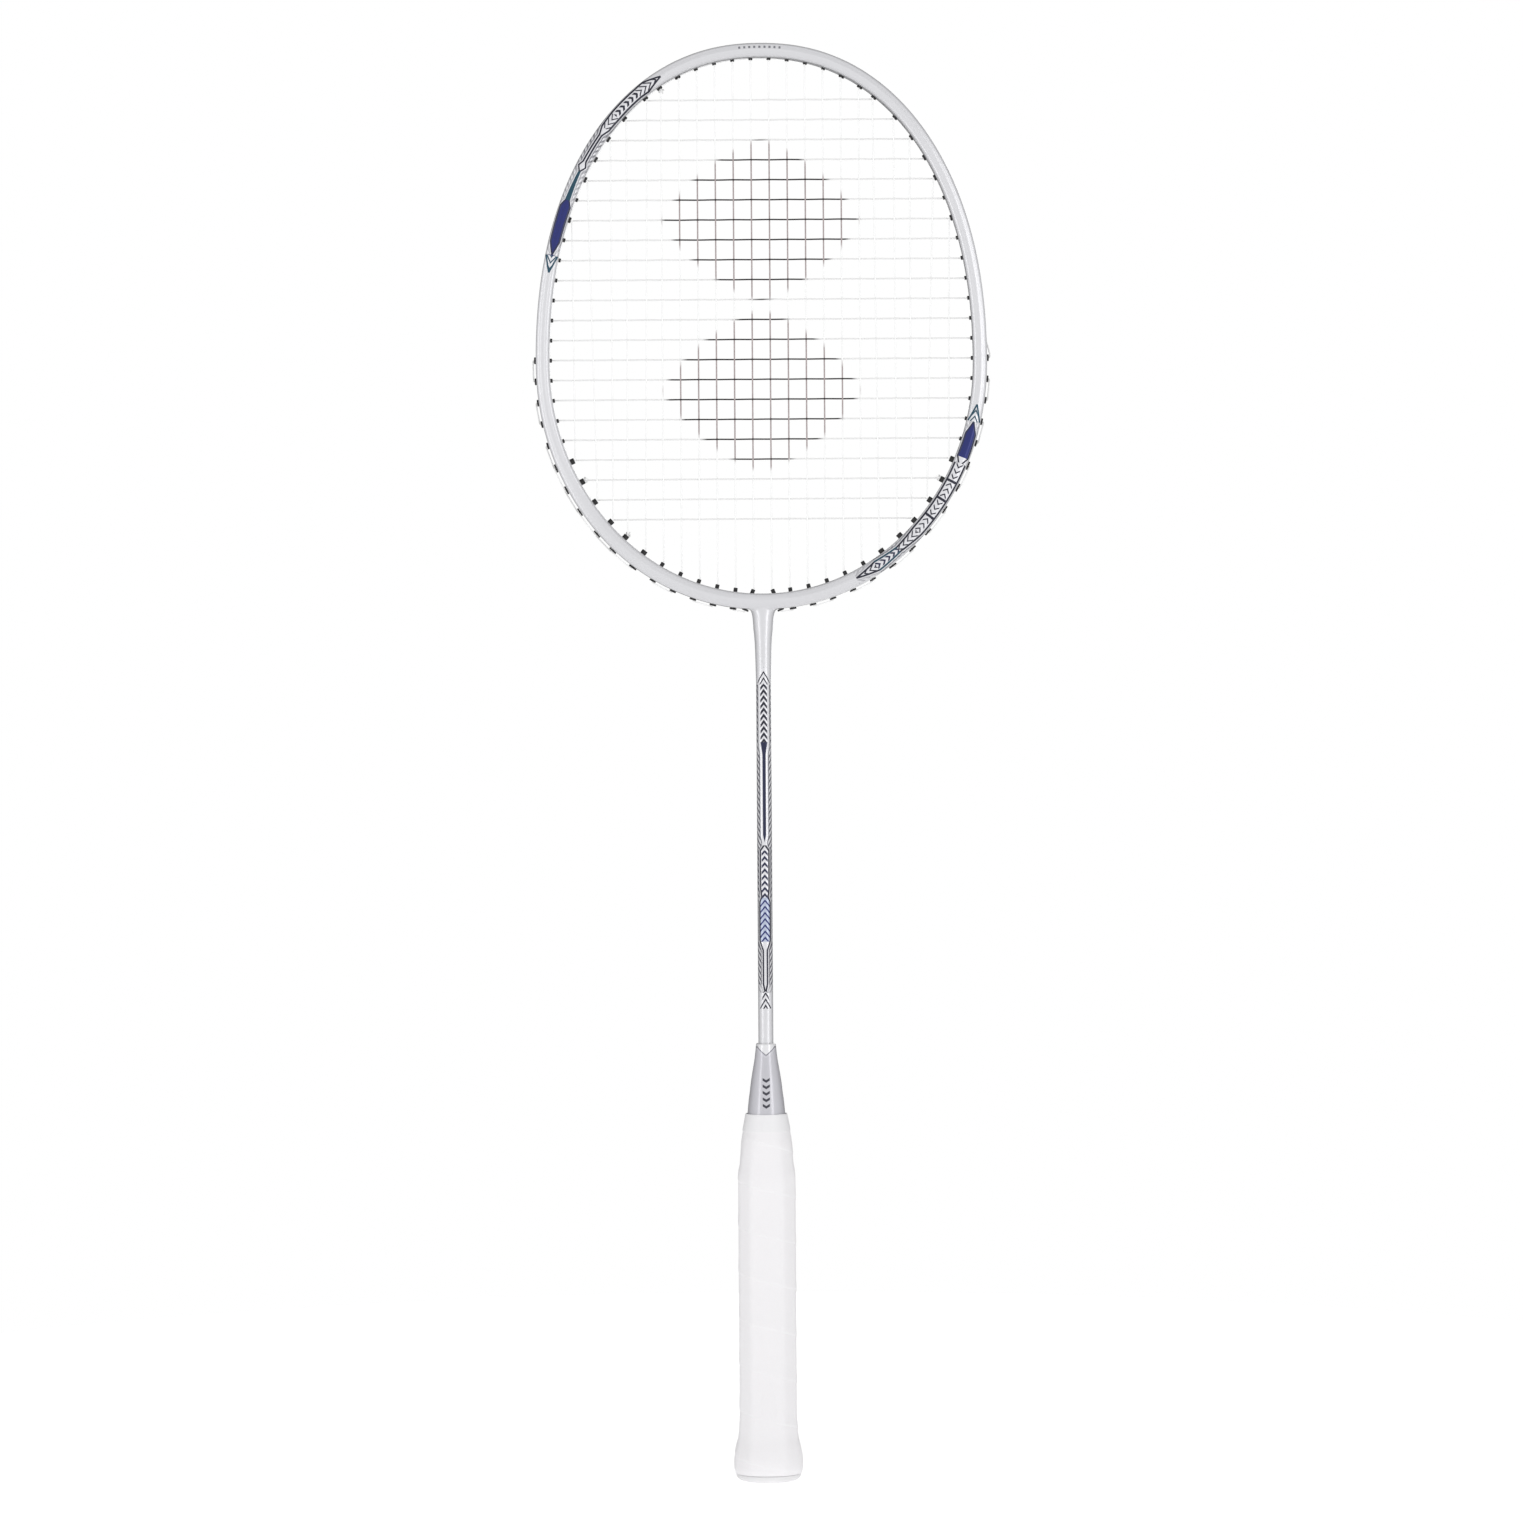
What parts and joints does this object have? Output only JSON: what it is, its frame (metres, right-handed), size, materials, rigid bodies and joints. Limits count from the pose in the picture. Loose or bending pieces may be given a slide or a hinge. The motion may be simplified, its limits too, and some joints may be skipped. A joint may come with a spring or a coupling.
{
  "type": "badminton racket",
  "caption": "Badminton racket with an oval strung head, slim shaft, tapered cone and an octagonal taped grip that flares at the butt.",
  "frame": {"origin": "centre of the flat butt end of the handle, at the bottom of the upright racket", "axes": "+Z along the racket from the butt to the top of the head; X is the width of the head; the string bed lies in the XZ plane and its front faces -Y"},
  "size_m": [0.2156, 0.03, 0.675],
  "materials": {
    "pearl_lacquer": "clear-coated pearl silver lacquer over carbon fibre composite",
    "cone_lacquer": "satin silver lacquer with a faint violet tone over moulded plastic",
    "black_nylon": "black moulded nylon",
    "string_nylon": "white multifilament nylon with a smooth coating",
    "grip_tape": "white polyurethane grip tape, spirally wound",
    "finishing_tape": "white elastic tape",
    "handle_wood": "bare sanded wood",
    "cap_plastic": "white moulded plastic",
    "badge_film": "plain grey film badge, no mark",
    "t_joint_metal": "dark anodised"
  },
  "bodies": {
    "root": {"butt_badge": "badge_film", "butt_cap": "cap_plastic", "cone_cap": "cone_lacquer", "cross_string": "string_nylon", "finishing_tape": "finishing_tape", "grip_tape": "grip_tape", "grommet_cross_14_left": "black_nylon", "grommet_cross_14_right": "black_nylon", "grommet_cross_15_left": "black_nylon", "grommet_cross_15_right": "black_nylon", "grommet_cross_16_left": "black_nylon", "grommet_cross_16_right": "black_nylon", "grommet_cross_17_left": "black_nylon", "grommet_cross_17_right": "black_nylon", "grommet_cross_18_left": "black_nylon", "grommet_cross_18_right": "black_nylon", "grommet_cross_19_left": "black_nylon", "grommet_cross_19_right": "black_nylon", "grommet_cross_20_left": "black_nylon", "grommet_cross_20_right": "black_nylon", "grommet_cross_21_left": "black_nylon", "grommet_cross_21_right": "black_nylon", "grommet_cross_22_left": "black_nylon", "grommet_cross_22_right": "black_nylon", "grommet_main_01_left": "black_nylon", "grommet_main_01_right": "black_nylon", "grommet_main_02_left": "black_nylon", "grommet_main_02_right": "black_nylon", "grommet_main_03_left": "black_nylon", "grommet_main_03_right": "black_nylon", "grommet_main_04_left": "black_nylon", "grommet_main_04_right": "black_nylon", "grommet_main_05_left": "black_nylon", "grommet_main_05_right": "black_nylon", "grommet_main_06_left": "black_nylon", "grommet_main_06_right": "black_nylon", "grommet_main_07_left": "black_nylon", "grommet_main_07_right": "black_nylon", "grommet_main_08_left": "black_nylon", "grommet_main_08_right": "black_nylon", "grommet_strip_shoulder_left": "black_nylon", "grommet_strip_shoulder_right": "black_nylon", "grommet_strip_side_left": "black_nylon", "grommet_strip_side_right": "black_nylon", "grommet_strip_top": "black_nylon", "handle_core": "handle_wood", "head_frame": "pearl_lacquer", "main_string": "string_nylon", "shaft": "pearl_lacquer", "t_joint": "t_joint_metal"}
  },
  "joints": []
}
